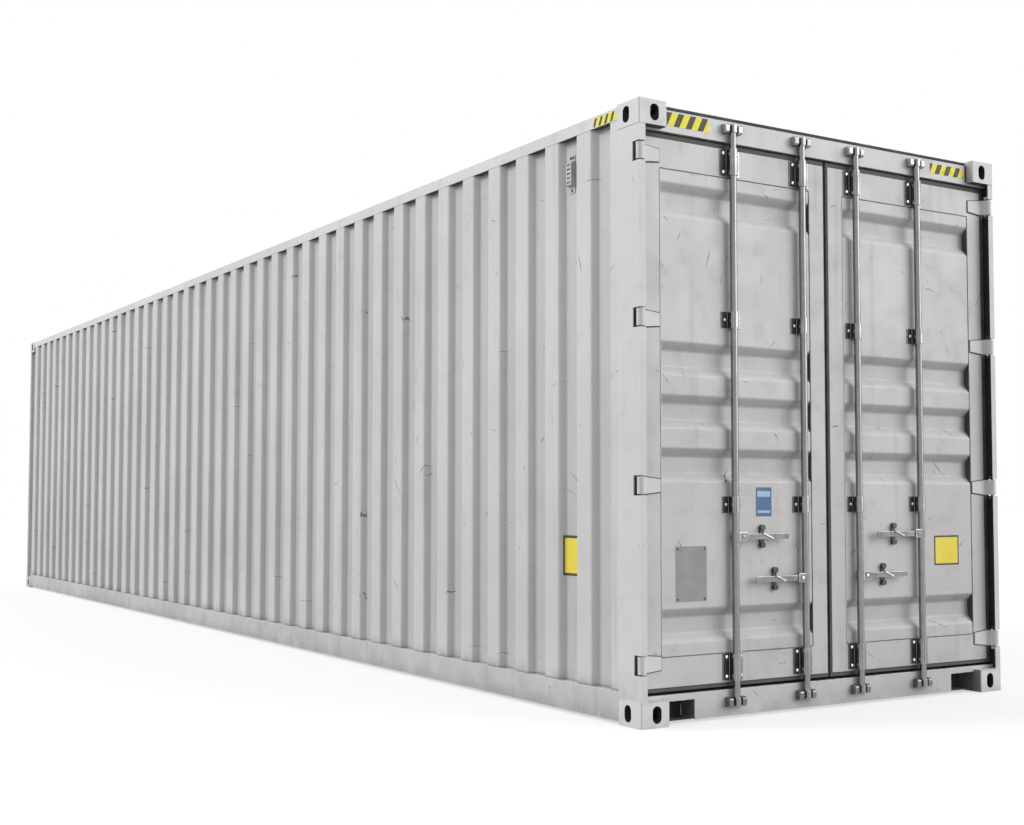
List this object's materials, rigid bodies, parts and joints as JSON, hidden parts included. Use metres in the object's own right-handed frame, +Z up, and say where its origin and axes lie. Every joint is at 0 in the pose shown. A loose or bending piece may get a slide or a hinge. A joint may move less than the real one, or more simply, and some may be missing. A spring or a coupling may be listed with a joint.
{
  "type": "high-cube shipping container",
  "caption": "Long high-cube steel shipping container with corrugated walls, hollow corner castings, hinged end doors and locking bars that turn with their handles.",
  "frame": {"origin": "on the ground, under the middle of the container", "axes": "+Z up, Y along the container with the doors at -Y, +X to the right of someone facing the doors"},
  "size_m": [2.438, 12.192, 2.896],
  "materials": {
    "grey_paint": "semi-matt light grey paint on pressed steel, grimy along the rails",
    "door_paint": "semi-matt light grey paint, slightly warm, scuffed",
    "casting_paint": "light grey paint on cast steel",
    "galvanised_steel": "zinc-coated steel, bright on the bars and dull on the flanges",
    "dark_steel": "dark coated forged steel",
    "door_rubber": "dark grey matt rubber",
    "vent_plastic": "grey moulded plastic",
    "floor_plywood": "sealed brown plywood boards",
    "underside_coating": "dark underside coating"
  },
  "bodies": {
    "container_body": {"corner_casting_rear_bottom_left": "casting_paint", "corner_casting_rear_top_left": "casting_paint", "corner_casting_front_bottom_left": "casting_paint", "corner_casting_front_top_left": "casting_paint", "corner_casting_rear_bottom_right": "casting_paint", "corner_casting_rear_top_right": "casting_paint", "corner_casting_front_bottom_right": "casting_paint", "corner_casting_front_top_right": "casting_paint", "rear_corner_post_left": "grey_paint", "rear_corner_post_right": "grey_paint", "front_corner_post_left": "grey_paint", "front_corner_post_right": "grey_paint", "bottom_side_rail_left": "grey_paint", "bottom_side_rail_right": "grey_paint", "top_side_rail_left": "grey_paint", "top_side_rail_right": "grey_paint", "side_wall_left": "grey_paint", "side_wall_right": "grey_paint", "front_wall": "grey_paint", "front_top_rail": "grey_paint", "front_bottom_rail": "grey_paint", "door_header": "grey_paint", "door_sill": "grey_paint", "roof_panel": "grey_paint", "floor_boards": "floor_plywood", "cross_members": "underside_coating", "ventilator_left": "vent_plastic", "ventilator_right": "vent_plastic", "cam_keepers_top": "galvanised_steel", "cam_keepers_bottom": "galvanised_steel"},
    "left_door": {"left_door_frame": "door_paint", "left_door_panel": "door_paint", "left_door_gasket": "door_rubber", "left_door_hinges": "casting_paint", "left_door_bar_brackets": "galvanised_steel", "left_door_handle_catches": "dark_steel"},
    "right_door": {"right_door_frame": "door_paint", "right_door_panel": "door_paint", "right_door_gasket": "door_rubber", "right_door_hinges": "casting_paint", "right_door_bar_brackets": "galvanised_steel", "right_door_handle_catches": "dark_steel"},
    "left_outer_bar": {"locking_bar_left_outer": "galvanised_steel", "handle_left_outer": "galvanised_steel"},
    "left_inner_bar": {"locking_bar_left_inner": "galvanised_steel", "handle_left_inner": "galvanised_steel"},
    "right_outer_bar": {"locking_bar_right_outer": "galvanised_steel", "handle_right_outer": "galvanised_steel"},
    "right_inner_bar": {"locking_bar_right_inner": "galvanised_steel", "handle_right_inner": "galvanised_steel"}
  },
  "joints": [
    {"name": "left_door_hinge", "type": "hinge", "parent": "container_body", "child": "left_door", "pos_m": [-1.198, -6.075, 1.4], "axis": [0, 0, -1], "range_deg": [0, 265]},
    {"name": "right_door_hinge", "type": "hinge", "parent": "container_body", "child": "right_door", "pos_m": [1.198, -6.075, 1.4], "axis": [0, 0, 1], "range_deg": [0, 265]},
    {"name": "left_outer_bar_turn", "type": "hinge", "parent": "left_door", "child": "left_outer_bar", "pos_m": [-0.637, -6.072, 1.4], "axis": [0, 0, 1], "range_deg": [-95, 0]},
    {"name": "left_inner_bar_turn", "type": "hinge", "parent": "left_door", "child": "left_inner_bar", "pos_m": [-0.187, -6.072, 1.4], "axis": [0, 0, -1], "range_deg": [-95, 0]},
    {"name": "right_outer_bar_turn", "type": "hinge", "parent": "right_door", "child": "right_outer_bar", "pos_m": [0.637, -6.072, 1.4], "axis": [0, 0, -1], "range_deg": [-95, 0]},
    {"name": "right_inner_bar_turn", "type": "hinge", "parent": "right_door", "child": "right_inner_bar", "pos_m": [0.187, -6.072, 1.4], "axis": [0, 0, 1], "range_deg": [-95, 0]}
  ]
}
